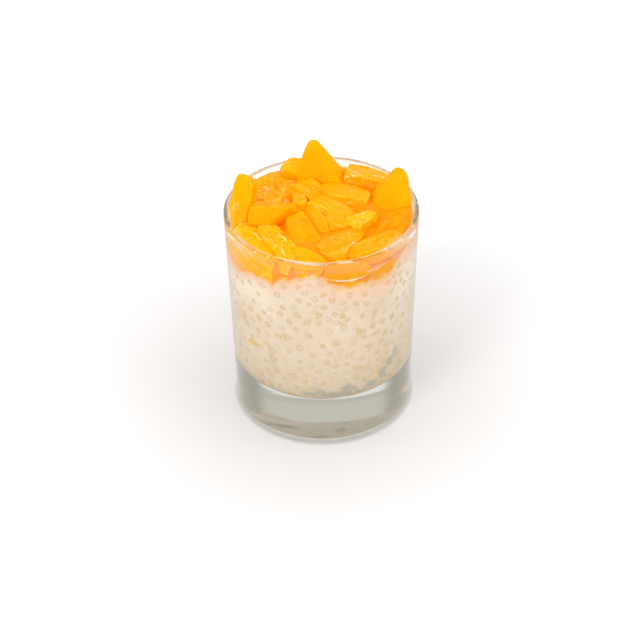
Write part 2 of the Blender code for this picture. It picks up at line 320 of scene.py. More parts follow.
def reach(tree, value, low, high, to_low=0.0, to_high=1.0):
    """A value stretched from low..high to another range, and held at its ends."""
    sockets = {0: value, 1: low, 2: high, 3: to_low, 4: to_high}
    return put(tree, "MapRange", sockets, interpolation_type="SMOOTHSTEP").outputs[0]


def place(tree):
    """Where a point is on the part, in metres."""
    return put(tree, "TexCoord").outputs["Object"]


def paint(tree, base, *layers):
    """Colours laid over a base in turn. A layer is (value, low, high, colour, most).

    It covers what is below it by the value, stretched from low..high to 0..most; most is 1 if left out.
    """
    for value, low, high, colour, *most in layers:
        base = blend(tree, reach(tree, value, low, high, 0.0, *(most or [1.0])), base, colour)
    return base


def noise(tree, scale, detail=3.0, rough=0.5, twist=0.0, where=None):
    """Noise of a scale in cells for each metre of the part, or of another vector."""
    sockets = {"Vector": where or place(tree), "Scale": scale, "Detail": detail}
    return put(tree, "TexNoise", {**sockets, "Roughness": rough, "Distortion": twist}).outputs[0]


def mark(tree, name, field="Fac"):
    """A value that make_piece stored on the points."""
    return put(tree, "Attribute", attribute_name=name).outputs[field]


def place_along(tree, axis):
    """Where a point is along one axis of the part: 0 to the right, 1 to the back, 2 up."""
    return put(tree, "SeparateXYZ", {0: place(tree)}).outputs[axis]


def new_finish(name):
    """A new material, its tree and its Principled shader."""
    made = bpy.data.materials.new(name)
    made.use_nodes = True
    return made, made.node_tree, made.node_tree.nodes["Principled BSDF"]


def either(tree, share, a, b):
    """The shader between a and b by a share from 0 to 1."""
    return put(tree, "MixShader", {0: share, 1: a, 2: b}).outputs[0]


def settle(shader, **sockets):
    """Set a shader's sockets by name, with _ for a space: numbers are set and outputs are linked."""
    for key, value in sockets.items():
        fill(shader.inputs[key.replace("_", " ")], value)


def let_light_in(shader, share, colours, depth):
    """Let a share of the light wander under the surface: red, green and blue go in by colours x depth."""
    settle(shader, Subsurface_Weight=share, Subsurface_Radius=colours, Subsurface_Scale=depth)


# %% [markdown]
# ## Clear glass
#
# Real glass bends what the camera sees but barely shades what is inside it. Traced honestly, the
# lamps would reach the pudding only as noisy caustics. So the shader is glass for the rays that
# look, and plainly see-through for the rays that carry light: Light Path tells them apart. A film
# of fingertip haze in the roughness and a faint ripple in the wall keep it from looking drawn.

# %% Glass finish
def glass_finish():
    """Glass of index 1.5 for looking rays, and a pale see-through shader for light-carrying rays."""
    made, tree, shader = new_finish("clear_glass_finish")
    haze = noise(tree, 60.0, 4.0, 0.6)
    ripple = noise(tree, 45.0, 1.0, 0.4)
    settle(shader, Base_Color=(0.965, 0.975, 0.955), IOR=1.5, Metallic=0.0, Transmission_Weight=1.0)
    settle(shader, Roughness=reach(tree, haze, 0.45, 0.75, 0.0, 0.035))
    settle(shader, Normal=bumps(tree, ripple, 0.06, 0.002))
    path = put(tree, "LightPath").outputs
    carries = larger(tree, path["Is Shadow Ray"], path["Is Diffuse Ray"])
    clear = put(tree, "BsdfTransparent", {"Color": (0.95, 0.96, 0.945)}).outputs[0]
    mixed = either(tree, carries, shader.outputs[0], clear)
    fill(tree.nodes["Material Output"].inputs["Surface"], mixed)
    return made


dress(tumbler, glass_finish(), "clear_glass", "glass")

# %% [markdown]
# ## Where cream and fruit meet
#
# The pudding's edge along the glass is a ragged line: it climbs where the cream was pushed up and
# sinks under heavy fruit. It is stored as heights at a few angles round the front and blended
# between them. Everything that lies against the glass uses this one line, so the blush of juice
# in the cream, the pearls and the fruit all agree.

# %% The cream line
CREAM_LINE = np.array([
    (-180.0, 81.5), (-150.0, 80.5), (-125.0, 84.0), (-100.0, 85.5), (-84.0, 82.0), (-70.0, 79.3),
    (-62.0, 77.8), (-49.0, 81.4), (-39.0, 82.2), (-31.5, 81.0), (-24.0, 84.8), (-19.5, 84.9),
    (-13.0, 87.2), (-6.0, 90.2), (-2.6, 88.9), (4.4, 84.2), (13.4, 82.4), (22.8, 81.8),
    (30.8, 82.6), (36.7, 80.2), (43.0, 80.7), (48.8, 85.0), (55.5, 88.8), (65.5, 90.0),
    (85.0, 88.0), (105.0, 82.0), (130.0, 84.5), (150.0, 85.5), (168.0, 83.0), (180.0, 81.5),
])


def cream_height(angle):
    """Height of the cream's edge at an angle (degrees, 0 in front, growing to the right)."""
    angle = (angle + 180.0) % 360.0 - 180.0
    ragged = 0.45 * np.sin(np.radians(angle * 37.0)) + 0.3 * np.sin(np.radians(angle * 61.0 + 40.0))
    return (np.interp(angle, CREAM_LINE[:, 0], CREAM_LINE[:, 1]) + ragged) * MM


def wall_place(points):
    """Angle in degrees and height of points round the glass."""
    return np.degrees(np.arctan2(points[..., 0], -points[..., 1])), points[..., 2]


def near_angle(angle, middle, width):
    """1 at the middle angle, falling off as e^(-s^2) with the distance s in widths, all in degrees."""
    return np.exp(-((angle - middle) / width) ** 2)


def blush_at(points):
    """How much juice has tinted the cream: 1 at its edge, gone a centimetre below, sooner at the left."""
    angle, z = wall_place(points)
    below = (cream_height(angle) - z) / MM
    left = near_angle(angle, -52.0, 22.0)
    depth = 11.2 + 3.2 * wander(points, 9.0 * MM, 3) - 5.4 * left
    return (1.0 - ease(-0.5, depth, below)) ** (0.8 + 0.8 * left)


print("cream line from", CREAM_LINE[:, 1].min(), "to", CREAM_LINE[:, 1].max(), "mm")

# %% [markdown]
# ## The pudding
#
# The pudding takes its side from the glass: its skin is the inner wall moved 0.15 mm outwards, so
# that it sits just inside the glass and no film of air shows between them. Above, it is an uneven
# surface that rises to the cream line at the wall. Values stored on its points say where juice has
# tinted it, where the cream is thin and tan, and where a pocket of grey liquid lies on the glass.

# %% Pudding shape
INTO_WALL = 0.15 * MM
PUDDING_COLUMNS = 460
PUDDING_LEVEL = 82.6 * MM
# The side's rings are even up to here, and from there they are stretched to the cream line
SIDE_LIFTS_FROM = 46.0 * MM
SIDE_TOP = 80.0 * MM
# Grey pockets: angle, height (mm), half-width and half-height (mm)
POCKETS = (
    (16.5, 27.6, 3.8, 3.4), (24.0, 25.2, 4.8, 1.3), (4.0, 25.6, 6.6, 1.9), (-3.0, 28.0, 2.2, 2.4),
    (-9.0, 25.8, 4.4, 1.2), (41.0, 31.0, 3.0, 3.4), (47.5, 34.4, 2.3, 3.0), (53.0, 37.8, 1.9, 3.4),
    (33.0, 27.6, 4.2, 2.0), (58.0, 30.5, 1.0, 2.8), (-59.0, 31.7, 0.8, 1.4), (-51.0, 27.2, 0.7, 0.7),
    (-44.0, 29.0, 0.7, 0.7), (-37.0, 25.2, 0.8, 0.7), (-30.0, 28.0, 0.9, 0.8), (-66.0, 38.5, 0.8, 2.0),
    (27.5, 31.2, 0.7, 1.3), (96.0, 29.0, 3.0, 2.4), (132.0, 26.5, 4.0, 1.6), (170.0, 28.0, 2.4, 3.0),
    (-150.0, 26.0, 4.4, 1.3), (-118.0, 30.0, 1.6, 2.4), (-96.0, 25.6, 3.4, 1.0), (152.0, 33.0, 1.2, 2.2),
)


def pudding_rings():
    """Rings from the floor's middle out along it, up the wall to the cream line and in over the top."""
    corner_z = FLOOR_HEIGHT + FLOOR_CORNER
    reach_out = wall_inside(corner_z) - FLOOR_CORNER
    corner = arc((reach_out, corner_z), FLOOR_CORNER + INTO_WALL, -90, 0, 20)
    floor = between((0.0, corner[0, 1]), corner[0], 14)
    side_z = np.linspace(corner_z, SIDE_TOP, 118)[1:]
    side = np.stack([wall_inside(side_z) + INTO_WALL, side_z], axis=1)
    rings = turned(np.concatenate([floor, corner, side]), PUDDING_COLUMNS)
    angle, _ = wall_place(rings[-1])
    share = np.clip((rings[..., 2] - SIDE_LIFTS_FROM) / (SIDE_TOP - SIDE_LIFTS_FROM), 0.0, 1.0)
    rings[..., 2] += share ** 1.5 * (cream_height(angle) - SIDE_TOP)
    out = np.hypot(rings[..., 0], rings[..., 1])
    rings[..., :2] *= np.where(share > 0.0, (wall_inside(rings[..., 2]) + INTO_WALL) / out, 1.0)[..., None]
    inwards = np.array([0.985, 0.96, 0.92, 0.86, 0.78, 0.68, 0.56, 0.42, 0.27, 0.12])[:, None, None]
    top = np.repeat(rings[-1:], len(inwards), axis=0)
    top[..., :2] *= inwards
    flatter = inwards[..., 0] ** 8
    top[..., 2] = PUDDING_LEVEL + flatter * (top[..., 2] - PUDDING_LEVEL)
    top[..., 2] += 0.8 * MM * wander(top, 7.0 * MM, 5) * (1.0 - flatter)
    return np.concatenate([rings, top])


def pocket_at(points):
    """1 inside the grey pockets, with a ragged edge, from the distance to each scaled by its size."""
    angle, z = wall_place(points)
    nearest = np.full(points.shape[:-1], 9.0)
    for middle, height, wide, high in POCKETS:
        across = np.radians((angle - middle + 180.0) % 360.0 - 180.0) * 37.0 / wide
        nearest = np.minimum(nearest, np.hypot(across, (z / MM - height) / high))
    ragged = 0.36 * wander(points, 1.7 * MM, 8) + 0.2 * wander(points, 0.8 * MM, 9)
    settled = 0.4 * (1.0 - ease(20.2 * MM, 22.5 * MM, z)) * (0.7 + 0.6 * wander(points, 3.5 * MM, 7))
    under = 1.0 - ease(19.95 * MM, 20.25 * MM, z)
    settled = settled * (1.0 - under) + 0.9 * under * ease(0.3, 0.62, wander(points, 4.2 * MM, 17))
    return np.maximum(1.0 - ease(0.74, 1.2, nearest + ragged), settled)


def thin_at(points):
    """Where the cream is thin and its tan liquid shows: smears taller than wide, more of them low down."""
    tall = points * np.array([1.0, 1.0, 0.45])
    patch = wander(tall, 4.6 * MM, 12) + 0.5 * wander(points, 2.0 * MM, 13)
    low = 1.0 - ease(24.0 * MM, 52.0 * MM, points[..., 2])
    return ease(0.35, 1.0, patch + 0.22 * low)


rings = pudding_rings()
skin = ring_points(rings)
marks = {"blush": blush_at(skin), "pocket": pocket_at(skin), "thin": thin_at(skin)}
pudding = make_piece("pudding_body", skin, *ring_faces(*rings.shape[:2]), marks)
print("pocket share", round(float(marks["pocket"].mean()), 3))

# %% [markdown]
# ## Cream
#
# The colour of the cream is wanted twice: on the pudding, and on the rim of every pearl, where a
# veil of cream runs over it. So it is a node group, built once. It takes the tint of juice and the
# thinness of the cream, and gives a colour that wanders slowly over the part.

# %% Cream colour group
def colour_group(name, *values):
    """A node group with named values going in and one colour coming out, and its sockets inside."""
    made = bpy.data.node_groups.new(name, "ShaderNodeTree")
    for value in values:
        made.interface.new_socket(name=value, in_out="INPUT", socket_type="NodeSocketFloat")
    made.interface.new_socket(name="Color", in_out="OUTPUT", socket_type="NodeSocketColor")
    out = made.nodes.new("NodeGroupOutput").inputs["Color"]
    return made, made.nodes.new("NodeGroupInput").outputs, out


def cream_colour_group():
    """Cream by place: two by slow noise, tan where thin, painted light high at the left and right sides,
    peach where tinted.
    """
    made, given, out = colour_group("cream_colour", "Thin", "Blush")
    slow = noise(made, 95.0, 2.0)
    fine = noise(made, 420.0)
    cream = paint(
        made, (0.805, 0.665, 0.525),
        (slow, 0.35, 0.65, (0.775, 0.62, 0.465)),
        (fine, 0.5, 0.75, (0.72, 0.55, 0.37), 0.3),
    )
    tan = blend(made, given["Thin"], cream, (0.70, 0.52, 0.33))
    height = place_along(made, 2)
    tan = blend(made, reach(made, height, 0.020, 0.066, 0.8, 0.0), tan, (0.67, 0.54, 0.40))
    tan = blend(made, reach(made, height, 0.0199, 0.0206, 1.0, 0.0), tan, (0.73, 0.66, 0.55))
    # Painted light: high up at the left and right sides the cream is painted paler.
    across = place_along(made, 0)
    sides = larger(made, reach(made, across, -0.026, -0.015, 1.0, 0.0), reach(made, across, 0.023, 0.033))
    painted_side_light = times(made, sides, reach(made, height, 0.058, 0.076))
    tan = blend(made, painted_side_light, tan, (0.89, 0.735, 0.585))
    blush = given["Blush"]
    tinted = paint(made, tan, (blush, 0.0, 0.7, (0.87, 0.60, 0.45)), (blush, 0.87, 1.0, (0.97, 0.58, 0.33)))
    fill(out, tinted)
    return made


CREAM_COLOUR = cream_colour_group()


def cream_colour(tree):
    """The cream's colour in a material, from the marks on its piece."""
    sockets = {"Thin": mark(tree, "thin"), "Blush": mark(tree, "blush")}
    return put(tree, "Group", sockets, node_tree=CREAM_COLOUR).outputs["Color"]


# %% Pudding finish
def pudding_finish():
    """Cream with grey pockets: a soft body that light enters a little, wetter in the pockets."""
    made, tree, shader = new_finish("tapioca_cream_finish")
    pocket = mark(tree, "pocket")
    grey = blend(tree, noise(tree, 240.0), (0.40, 0.37, 0.30), (0.54, 0.49, 0.40))
    settle(shader, Base_Color=paint(tree, cream_colour(tree), (pocket, 0.0, 1.0, grey, 0.9)))
    lumps = noise(tree, 320.0, 3.0)
    settle(shader, Roughness=reach(tree, lumps, 0.3, 0.7, 0.28, 0.5))
    settle(shader, Normal=bumps(tree, lumps, 0.25, 0.0006))
    let_light_in(shader, 0.25, (1.0, 0.7, 0.45), 1.8 * MM)
    settle(shader, Specular_IOR_Level=0.3)
    return made


dress(pudding, pudding_finish(), "tapioca_cream", "tapioca_pudding")

# %% [markdown]
# ## Pearls
#
# Cooked tapioca pearls are soft beads about 2.6 mm across. Against the glass each shows as a beige
# disc that fades at its rim, because the cream creeps in where the bead curves away. Scattering
# one object with particles would do, but a joined mesh keeps every pearl at its own size and place.
# A pearl is six small rings: a flat face on the glass, then a round body that sinks into the cream.

# %% Pearl places
PEARL_RADIUS = 1.5 * MM
PEARL_SPACING = 4.3 * MM
PEARL_TRIES = 26000
PEARL_LOWEST, PEARL_HIGHEST = 24.0 * MM, 92.0 * MM
UNDER_CREAM_LINE = 1.6 * MM


def pearl_spots(seed=4):
    """Angles and heights of pearls against the glass: random darts kept if none is too near.

    The room each dart wants changes over the wall, so that some pearls crowd and others stand apart.
    """
    draw = np.random.default_rng(seed)
    angle = draw.uniform(-180.0, 180.0, PEARL_TRIES)
    z = draw.uniform(PEARL_LOWEST, PEARL_HIGHEST, PEARL_TRIES)
    keep = z < cream_height(angle) - UNDER_CREAM_LINE
    angle, z = angle[keep], z[keep]
    radius = wall_inside(z)
    at = about_axis(radius, np.radians(angle), z)
    low = 1.0 - ease(34.0 * MM, 62.0 * MM, z)
    room = PEARL_SPACING * (1.03 + 0.46 * wander(at, 9.0 * MM, 23) - 0.15 * low)
    near_pocket = pocket_at(at) > 0.5
    chosen = np.zeros((0,), int)
    for trial in range(len(at)):
        apart = np.linalg.norm(at[chosen] - at[trial], axis=1)
        if not near_pocket[trial] and (len(chosen) == 0 or apart.min() > room[trial]):
            chosen = np.append(chosen, trial)
    return angle[chosen], z[chosen]


pearl_angle, pearl_z = pearl_spots()
print("pearls", len(pearl_angle))

# %% Pearl shape
PEARL_SIDES = 12
PEARL_INTO_SKIN = 0.06 * MM
# How much of the bead's own colour shows on each of its rings, from the face on the glass backwards
PEARL_FADE = (0.75, 1.0, 0.6, 0.0, 0.0, 0.0)


def pearl_body():
    """Rings of one pearl about the wall point: (distance from its line, depth behind the glass), in radii.

    The first three lie flat on the glass, and the rest follow a circle to the far side.
    """
    face = np.array([(0.36, 0.0), (0.68, 0.0), (0.92, -0.02)])
    turn = np.radians(np.array([25.0, -15.0, -60.0]))
    body = np.stack([1.06 * np.cos(turn), np.sin(turn) - 0.7], axis=1)
    return np.concatenate([face, body])


def pearls_against_glass(angle, z, seed=9):
    """All pearls as one array: each body scaled, squashed and set on the wall at its angle and height."""
    draw = np.random.default_rng(seed)
    count = len(angle)
    size = PEARL_RADIUS * draw.uniform(0.80, 1.14, count)
    stretch = draw.uniform(0.88, 1.14, count)
    lean = draw.uniform(0.0, math.pi, count)
    veil = draw.uniform(0.0, 1.0, count) ** 1.6
    tint = draw.uniform(0.0, 1.0, count)
    each = (angle, z, size, stretch, lean, veil, tint)
    angle, z, size, stretch, lean, veil, tint = (value[:, None, None] for value in each)
    body = pearl_body()
    side = np.linspace(0.0, 2.0 * math.pi, PEARL_SIDES, endpoint=False)
    u = body[:, 0, None] * np.cos(side) * (size * stretch)
    v = body[:, 0, None] * np.sin(side) * (size / stretch)
    w = (body[:, 1, None] + 0.0 * side) * size
    turn_u, turn_v = u * np.cos(lean) - v * np.sin(lean), u * np.sin(lean) + v * np.cos(lean)
    height = z + turn_v
    out = wall_inside(height) + INTO_WALL + PEARL_INTO_SKIN + w
    points = about_axis(out, np.radians(angle) + turn_u / wall_inside(z), height)
    bead = (np.array(PEARL_FADE)[:, None] + 0.0 * u) * (1.0 - 0.7 * veil)
    return points, bead, tint + 0.0 * u


def join_beads(points, *values):
    """Faces and points of many small stacks of rings at once: one stack's faces, moved on for each."""
    count, rows, columns = points.shape[:3]
    step = rows * columns + 2
    flat = points.reshape(count, rows * columns, 3)
    whole = np.concatenate([points[:, :1].mean(axis=2), flat, points[:, -1:].mean(axis=2)], axis=1)
    quads, fans = ring_faces(rows, columns)
    move = (np.arange(count) * step)[:, None, None]
    marks = []
    for value in values:
        ends = value[:, :1].mean(axis=2), value[:, -1:].mean(axis=2)
        marks.append(np.concatenate([ends[0], value.reshape(count, -1), ends[1]], axis=1).ravel())
    quads, fans = (quads[None] + move).reshape(-1, 4), (fans[None] + move).reshape(-1, 3)
    return whole.reshape(-1, 3), quads, fans, marks


points, bead, tint = pearls_against_glass(pearl_angle, pearl_z)
points, quads, fans, (bead, tint) = join_beads(points[:, ::-1], bead[:, ::-1], tint[:, ::-1])
marks = {"bead": bead, "tint": tint, "blush": blush_at(points), "thin": thin_at(points)}
pearls = make_piece("tapioca_pearls", points, quads, fans, marks)


# %% Pearl finish
def pearl_finish():
    """Beige where the pearl lies on the glass, running into the cream's own colour at its rim."""
    made, tree, shader = new_finish("tapioca_pearl_finish")
    cream = cream_colour(tree)
    cloud = noise(tree, 900.0, 2.0)
    clear = blend(tree, mark(tree, "tint"), (0.715, 0.50, 0.27), (0.75, 0.565, 0.345))
    warm = (mark(tree, "blush"), 0.0, 0.6, (0.88, 0.50, 0.27), 0.7)
    body = paint(tree, clear, warm, (cloud, 0.45, 0.75, cream, 0.35))
    settle(shader, Base_Color=paint(tree, cream, (mark(tree, "bead"), 0.05, 0.95, body)))
    settle(shader, Roughness=reach(tree, cloud, 0.3, 0.7, 0.16, 0.32))
    settle(shader, Normal=bumps(tree, cloud, 0.15, 0.0003))
    let_light_in(shader, 0.3, (1.0, 0.7, 0.4), 1.5 * MM)
    settle(shader, Specular_IOR_Level=0.35)
    return made


dress(pearls, pearl_finish(), "tapioca_cream")

# %% [markdown]
# ## Juice
#
# Peach juice settles between the fruit and creeps down the glass, where it stains the cream. It
# is one closed layer: a band on the wall from the cream line up to an uneven edge, and a glossy
# surface inside it that fills the bottom of every gap between the pieces.

# %% Juice shape
JUICE_COLUMNS = 360
JUICE_BOTTOM = 82.0 * MM
JUICE_LEVEL = 91.2 * MM
JUICE_DOME = 2.9 * MM
# The dip in the juice under the disc with the hollow
DIP_DEPTH = 4.6 * MM
DIP_MIDDLE = (-19.0 * MM, 17.0 * MM)
DIP_RADIUS = 15.0 * MM
# The band on the wall: how far under the cream line it starts, its least height, and its usual top
BAND_STARTS_UNDER = 0.9 * MM
BAND_LEAST = 2.2 * MM
BAND_TOP = 88.6 * MM
# The inner wall's radius, about, where the juice and the streaks are
WALL_UP_HIGH = 38.0 * MM
# Radii of the rings over the top, as shares of the wall's, closer together near the glass
JUICE_TOP_RINGS = (
    0.97, 0.95, 0.92, 0.89, 0.85, 0.8, 0.75, 0.7, 0.64, 0.58, 0.52, 0.46, 0.4, 0.34, 0.27, 0.2, 0.1,
)


def juice_level(points):
    """Height of the juice between the pieces: highest in the middle, sunk where the hollow disc lies.

    The dip under the disc falls off as e^(-s^2) with the distance s from its middle in its radii.
    """
    x, y = points[..., 0], points[..., 1]
    dip = ((x - DIP_MIDDLE[0]) ** 2 + (y - DIP_MIDDLE[1]) ** 2) / DIP_RADIUS ** 2
    dome = 1.0 - ease(24.0 * MM, 34.0 * MM, np.hypot(x, y))
    return JUICE_LEVEL + JUICE_DOME * dome - DIP_DEPTH * np.exp(-dip)


def juice_rings():
    """Rings under the fruit, out to the wall just below the cream line, up it, and back in on top."""
    turn = turned(np.array([(1.0, 0.0)]), JUICE_COLUMNS)[0]
    angle, _ = wall_place(turn)
    low = cream_height(angle) - BAND_STARTS_UNDER
    high = np.maximum(low + BAND_LEAST, BAND_TOP + 2.0 * MM * wander(turn * 40.0 * MM, 11.0 * MM, 31))
    rings = []
    for share in (0.2, 0.6, 0.93):
        ring = turn * share * 37.0 * MM
        ring[:, 2] = JUICE_BOTTOM
        rings.append(ring)
    for up in np.linspace(0.0, 1.0, 26):
        z = low + (high - low) * up
        out = wall_inside(z) + INTO_WALL * 0.7 - 0.5 * MM * ease(0.9, 1.0, up)
        rings.append(np.concatenate([turn[:, :2] * out[:, None], z[:, None]], axis=1))
    for share in JUICE_TOP_RINGS:
        ring = np.concatenate([turn[:, :2] * share * WALL_UP_HIGH, high[:, None]], axis=1)
        level = juice_level(ring) + 0.7 * MM * wander(ring, 5.0 * MM, 33)
        ring[:, 2] = level + (high - level) * share ** 24
        rings.append(ring)
    return np.stack(rings)


def milk_and_painted_light_at(points):
    """Cream clouding what lies on the glass: 1 at the cream line, gone a few millimetres above it.

    Round the back and at both sides a thinner veil of it climbs further up the glass. These veils are
    painted light that pales the glass there.
    """
    angle, z = wall_place(points)
    above = (z - cream_height(angle)) / MM
    cloud = 1.0 - ease(-0.6, 2.4 + 1.8 * wander(points, 5.0 * MM, 35), above)
    # Painted light: the veils at the back and at both sides.
    back = 0.85 * ease(95.0, 125.0, np.abs(angle)) * (1.0 - ease(8.0, 12.0, above))
    left = (0.38 + 0.2 * wander(points, 6.0 * MM, 36)) * near_angle(angle, -70.0, 17.0)
    right = (0.5 + 0.25 * wander(points, 5.0 * MM, 37)) * near_angle(angle, 58.0, 16.0)
    on_glass = ease(-2.6 * MM, -0.8 * MM, np.hypot(points[..., 0], points[..., 1]) - wall_inside(z))
    return np.maximum(cloud, np.maximum(back, np.maximum(left, right))) * on_glass


rings = juice_rings()
points = ring_points(rings)
juice = make_piece("peach_juice", points, *ring_faces(*rings.shape[:2]), {"milk_and_painted_light": milk_and_painted_light_at(points)})


# %% Veil colour group, with painted light at the back
def veil_and_back_light_group():
    """Cream smeared on the glass: peach pink in front, and paler behind, which is painted light."""
    made, _, out = colour_group("veil_with_painted_back_light")
    # Painted light: the veil turns paler towards the back.
    behind = reach(made, place_along(made, 1), 0.004, 0.020)
    fill(out, blend(made, behind, (0.95, 0.60, 0.36), (0.97, 0.75, 0.58)))
    return made


VEIL_AND_BACK_LIGHT = veil_and_back_light_group()


def veiled_and_back_lit(tree, share, colour):
    """A colour under the veil of cream, painted paler at the back, by a share from 0 to 1."""
    return blend(tree, share, colour, put(tree, "Group", node_tree=VEIL_AND_BACK_LIGHT).outputs["Color"])


# %% Juice finish
def juice_finish():
    """Orange juice clouded with cream near the wall's lower edge, paled by painted light at the back and
    sides, smooth and wet.
    """
    made, tree, shader = new_finish("peach_juice_finish")
    cloud = noise(tree, 130.0, 3.0, 0.6, 0.8)
    wisps = noise(tree, 330.0, 2.0, 0.5, 1.4)
    orange = paint(
        tree, (1.0, 0.27, 0.01),
        (cloud, 0.35, 0.65, (1.0, 0.38, 0.04)),
        (cloud, 0.5, 0.72, (1.0, 0.53, 0.24), 0.75),
        (wisps, 0.62, 0.8, (1.0, 0.68, 0.43), 0.5),
        (place_along(tree, 2), 0.0885, 0.0905, (1.0, 0.31, 0.0)),
    )
    orange = veiled_and_back_lit(tree, mark(tree, "milk_and_painted_light"), orange)
    settle(shader, Base_Color=orange, Roughness=reach(tree, cloud, 0.3, 0.7, 0.12, 0.3))
    settle(shader, Normal=bumps(tree, cloud, 0.2, 0.001))
    let_light_in(shader, 0.4, (1.0, 0.5, 0.2), 2 * MM)
    settle(shader, Specular_IOR_Level=0.2)
    return made


dress(juice, juice_finish(), "peach_flesh")

# %% [markdown]
# ## Cut peach
#
# Each piece was cut with a knife, so it is a body with flat sides and edges worn a little round.
# The solids already hold those flat sides. Take the distance to each side along a direction: the
# smallest is where a ray from the middle leaves the piece. Adding them with a high power instead of
# taking the smallest rounds every edge at once. That gives the radius as a function of two angles,
# which is a grid of points, and noise then gives the flesh its fibres and hollows.

# %% Peach shape
PEACH_ROWS = 92
PEACH_COLUMNS = 124
# A face smaller than this is no side. Sides count as one if they agree in these steps of direction
# and of distance
SMALLEST_SIDE = 1e-8
DIRECTION_STEPS = 25.0
DISTANCE_STEP = 0.25 * MM


def read_all(items, field, width=3):
    """A field of all a mesh's points or faces, as rows of this width."""
    values = np.empty(len(items) * width)
    items.foreach_get(field, values)
    return values.reshape(-1, width)


def flat_sides(node):
    """A solid's middle, and the outward normal and distance from it of each flat side, each once."""
    faces = node.data.polygons
    normal, centre = read_all(faces, "normal"), read_all(faces, "center")
    area = read_all(faces, "area", 1)[:, 0]
    middle = (centre * area[:, None]).sum(axis=0) / area.sum()
    distance = ((centre - middle) * normal).sum(axis=1)
    kept = area > SMALLEST_SIDE
    rounded = np.round(np.column_stack([normal * DIRECTION_STEPS, distance / DISTANCE_STEP])[kept])
    _, first = np.unique(rounded, axis=0, return_index=True)
    return middle, normal[kept][first], distance[kept][first]


def long_axes(node, middle):
    """Three directions of a solid, the longest first, and its half-size along each."""
    offset = read_all(node.data.vertices, "co") - middle
    _, axes = np.linalg.eigh(offset.T @ offset)
    axes = axes[:, ::-1]
    if np.linalg.det(axes) < 0.0:
        axes[:, 2] *= -1.0
    return axes, np.abs(offset @ axes).max(axis=0)


# Corners taken off single pieces: the cut's normal, and its share of the solid's reach that way
OWN_CUTS = {
    "peach_right_sail": (((-0.8, 0.0, 0.6), 0.5),),
    "peach_left_slab": (((-0.75, -0.2, 0.6), 0.88), ((0.72, 0.0, 0.69), 0.85)),
    "peach_back_lump": (((-0.8, 0.0, 0.6), 0.6), ((0.0, -0.3, 1.0), 0.45)),
}
# Pieces that bulge past their solid on one side: which way, and by how many millimetres
HANGS = {
    "peach_right_sail": ((0.72, -0.4, -0.57), 6.5),
    "peach_back_sail": ((0.9, -0.2, 0.4), 1.8),
    "peach_left_disc": ((0.0, 0.0, 1.0), 4.5),
}


def ball_rings(rows, columns):
    """A ball of radius 1 as rings round its first axis: (-cos t, sin t cos p, sin t sin p)."""
    theta = (np.arange(rows) + 0.5)[:, None] * math.pi / rows
    phi = np.linspace(0.0, 2.0 * math.pi, columns, endpoint=False)[None, :]
    out = np.sin(theta)
    return np.stack([-np.cos(theta) + 0.0 * phi, out * np.cos(phi), out * np.sin(phi)], axis=-1)


def knife_work(node, middle, normal, distance, number, cuts, grow):
    """The sides as a hand would cut them: upright ones grown and leaning, and some corners taken off.

    A cut's normal climbs at 20 to 55 degrees, and it lies at 0.86 to 0.95 of the solid's reach that way.
    """
    draw = np.random.default_rng(500 + number)
    upright = 1.0 - ease(0.55, 0.9, np.abs(normal[:, 2]))
    lean = 0.015 + 0.075 * upright * min(grow, 1.0)
    normal = normal + draw.normal(0.0, 1.0, normal.shape) * lean[:, None]
    normal = normal / np.linalg.norm(normal, axis=1, keepdims=True)
    distance = distance + upright * grow * MM
    way, amount = HANGS.get(node.name, ((0.0, 0.0, 1.0), 0.0))
    distance = distance + amount * MM * np.clip(normal @ np.array(way), 0.0, None) ** 2
    climb, turn = np.radians(draw.uniform(20.0, 55.0, cuts)), draw.uniform(0.0, 2.0 * math.pi, cuts)
    cut = np.stack([np.cos(climb) * np.cos(turn), np.cos(climb) * np.sin(turn), np.sin(climb)], axis=1)
    share = draw.uniform(0.86, 0.95, cuts)
    for way, part in OWN_CUTS.get(node.name, ()):
        cut, share = np.vstack([cut, np.array(way) / np.linalg.norm(way)]), np.append(share, part)
    far = ((read_all(node.data.vertices, "co") - middle) @ cut.T).max(axis=0)
    return np.concatenate([normal, cut]), np.concatenate([distance, far * share + 0.5 * grow * MM])


def peach_skin(node, number, sharp, cuts, grow):
    """Rings of points round a solid's long axis at the rounded distance to its sides, and their directions.

    A direction u leaves at t = (sum of (n.u / d)^sharp)^(-1/sharp) over the sides it faces. Where
    another side, turned at least 30 degrees from the nearest one, is as near as it, there is an edge.
    """
    middle, normal, distance = flat_sides(node)
    axes, half = long_axes(node, middle)
    normal, distance = knife_work(node, middle, normal, distance, number, cuts, grow)
    way = (ball_rings(PEACH_ROWS, PEACH_COLUMNS) * half) @ axes.T
    facing = np.clip(way @ normal.T, 0.0, None) / distance
    nearest = facing.argmax(axis=-1)
    turned_away = (normal @ normal.T < 0.86)[nearest]
    edge = ease(0.925, 0.995, (facing * turned_away).max(axis=-1) / facing.max(axis=-1))
    t = (facing ** sharp).sum(axis=-1) ** (-1.0 / sharp)
    skin = middle + way * t[..., None]
    return middle, skin, way / np.linalg.norm(way, axis=-1, keepdims=True), axes, edge


# Points nearer to the wall than the first are eased towards it, and than the second lie on it
PRESS_BEGINS, PRESS_ENDS = 2.6 * MM, 1.0 * MM
# The juice ends between these heights, or higher by the lift at the sides. Above, the fruit is dry
DRY_BEGINS, DRY_ENDS, DRY_LIFT = 89.2 * MM, 91.4 * MM, 2.2 * MM
DRY_GAP = 0.35 * MM
# Pressed fruit lies a little deeper in the wall than the pudding does
PRESSED_DEEPER = 0.08 * MM
# How far a pressed point slips round the glass and along it
SLIP_ROUND, SLIP_ALONG = 1.5 * MM, 0.6 * MM


